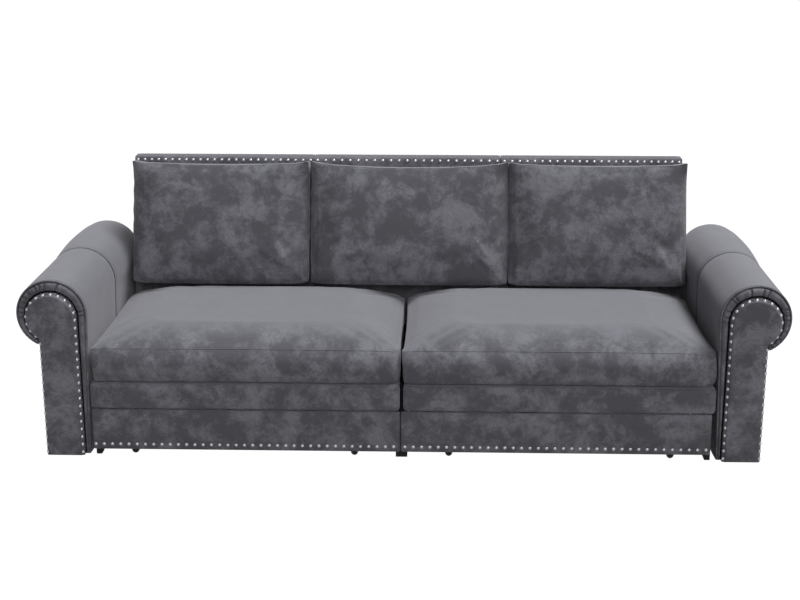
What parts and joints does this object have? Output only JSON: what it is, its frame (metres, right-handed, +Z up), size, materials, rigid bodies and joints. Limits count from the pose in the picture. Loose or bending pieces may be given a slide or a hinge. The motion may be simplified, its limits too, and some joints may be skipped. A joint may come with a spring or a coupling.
{
  "type": "sofa bed",
  "caption": "Roll-arm velvet sofa bed with loose cushions, nail-head trim and low pull-out bed sections on wheels.",
  "frame": {"origin": "on the floor, in the middle of the sofa's width and depth", "axes": "+X along the sofa to a viewer's right, -Y towards the front, +Z up"},
  "size_m": [2.622, 0.926, 0.897],
  "materials": {
    "velvet": "crushed velvet pile",
    "ticking": "woven mattress ticking",
    "timber": "planed pine",
    "slat_wood": "planed birch slats",
    "black_wood": "black lacquer, satin",
    "black_plastic": "moulded nylon",
    "nickel": "brushed nickel plate",
    "fork_steel": "blackened steel",
    "bolt_steel": "zinc plate"
  },
  "bodies": {
    "frame": {"arm_frame_left": "timber", "deck_frame_left": "timber", "deck_slats_left": "slat_wood", "arm_front_left": "velvet", "arm_rear_left": "velvet", "arm_panel_left": "velvet", "arm_border_left": "velvet", "arm_piping_left": "velvet", "deck_pad_left": "velvet", "arm_nails_left": "nickel", "arm_frame_right": "timber", "deck_frame_right": "timber", "deck_slats_right": "slat_wood", "arm_front_right": "velvet", "arm_rear_right": "velvet", "arm_panel_right": "velvet", "arm_border_right": "velvet", "arm_piping_right": "velvet", "deck_pad_right": "velvet", "arm_nails_right": "nickel", "back_frame_left": "timber", "back_pad_left": "velvet", "back_frame_middle": "timber", "back_pad_middle": "velvet", "back_frame_right": "timber", "back_pad_right": "velvet", "back_covers": "velvet", "back_nails": "nickel", "rear_rail": "timber", "centre_beam": "timber", "guides": "timber", "centre_legs": "black_wood", "outer_legs": "black_wood", "glides": "black_plastic", "frame_bolts": "bolt_steel"},
    "section_left": {"section_frame_left": "timber", "section_slats_left": "slat_wood", "section_front_left": "velvet", "front_nails_left": "nickel", "mattress_left": "ticking", "wheel_forks_left": "fork_steel"},
    "section_right": {"section_frame_right": "timber", "section_slats_right": "slat_wood", "section_front_right": "velvet", "front_nails_right": "nickel", "mattress_right": "ticking", "wheel_forks_right": "fork_steel"},
    "seat_cushion_left": {"seat_cushion_left": "velvet"},
    "wheel_left_1": {"wheel_left_1": "black_plastic"},
    "wheel_left_2": {"wheel_left_2": "black_plastic"},
    "wheel_left_3": {"wheel_left_3": "black_plastic"},
    "wheel_left_4": {"wheel_left_4": "black_plastic"},
    "seat_cushion_right": {"seat_cushion_right": "velvet"},
    "wheel_right_1": {"wheel_right_1": "black_plastic"},
    "wheel_right_2": {"wheel_right_2": "black_plastic"},
    "wheel_right_3": {"wheel_right_3": "black_plastic"},
    "wheel_right_4": {"wheel_right_4": "black_plastic"},
    "back_cushion_left": {"back_cushion_left": "velvet"},
    "back_cushion_middle": {"back_cushion_middle": "velvet"},
    "back_cushion_right": {"back_cushion_right": "velvet"}
  },
  "joints": [
    {"name": "pull_out_left", "type": "slide", "parent": "frame", "child": "section_left", "axis": [0, -1, 0], "range_m": [0, 0.6]},
    {"name": "pull_out_right", "type": "slide", "parent": "frame", "child": "section_right", "axis": [0, -1, 0], "range_m": [0, 0.6]},
    {"name": "wheel_left_1_turn", "type": "hinge", "parent": "section_left", "child": "wheel_left_1", "pos_m": [-0.931, -0.419, 0.018], "axis": [1, 0, 0], "continuous": true},
    {"name": "wheel_left_2_turn", "type": "hinge", "parent": "section_left", "child": "wheel_left_2", "pos_m": [-0.164, -0.419, 0.018], "axis": [1, 0, 0], "continuous": true},
    {"name": "wheel_left_3_turn", "type": "hinge", "parent": "section_left", "child": "wheel_left_3", "pos_m": [-0.931, 0.225, 0.018], "axis": [1, 0, 0], "continuous": true},
    {"name": "wheel_left_4_turn", "type": "hinge", "parent": "section_left", "child": "wheel_left_4", "pos_m": [-0.164, 0.225, 0.018], "axis": [1, 0, 0], "continuous": true},
    {"name": "wheel_right_1_turn", "type": "hinge", "parent": "section_right", "child": "wheel_right_1", "pos_m": [0.931, -0.419, 0.018], "axis": [1, 0, 0], "continuous": true},
    {"name": "wheel_right_2_turn", "type": "hinge", "parent": "section_right", "child": "wheel_right_2", "pos_m": [0.164, -0.419, 0.018], "axis": [1, 0, 0], "continuous": true},
    {"name": "wheel_right_3_turn", "type": "hinge", "parent": "section_right", "child": "wheel_right_3", "pos_m": [0.931, 0.225, 0.018], "axis": [1, 0, 0], "continuous": true},
    {"name": "wheel_right_4_turn", "type": "hinge", "parent": "section_right", "child": "wheel_right_4", "pos_m": [0.164, 0.225, 0.018], "axis": [1, 0, 0], "continuous": true},
    {"name": "seat_cushion_left_draw", "type": "slide", "parent": "frame", "child": "seat_cushion_left", "axis": [0, -1, 0], "range_m": [0, 0.6]},
    {"name": "seat_cushion_right_draw", "type": "slide", "parent": "frame", "child": "seat_cushion_right", "axis": [0, -1, 0], "range_m": [0, 0.6]},
    {"name": "back_cushion_left_lift", "type": "slide", "parent": "frame", "child": "back_cushion_left", "axis": [0, 0, 1], "range_m": [0, 0.3]},
    {"name": "back_cushion_middle_lift", "type": "slide", "parent": "frame", "child": "back_cushion_middle", "axis": [0, 0, 1], "range_m": [0, 0.3]},
    {"name": "back_cushion_right_lift", "type": "slide", "parent": "frame", "child": "back_cushion_right", "axis": [0, 0, 1], "range_m": [0, 0.3]}
  ]
}
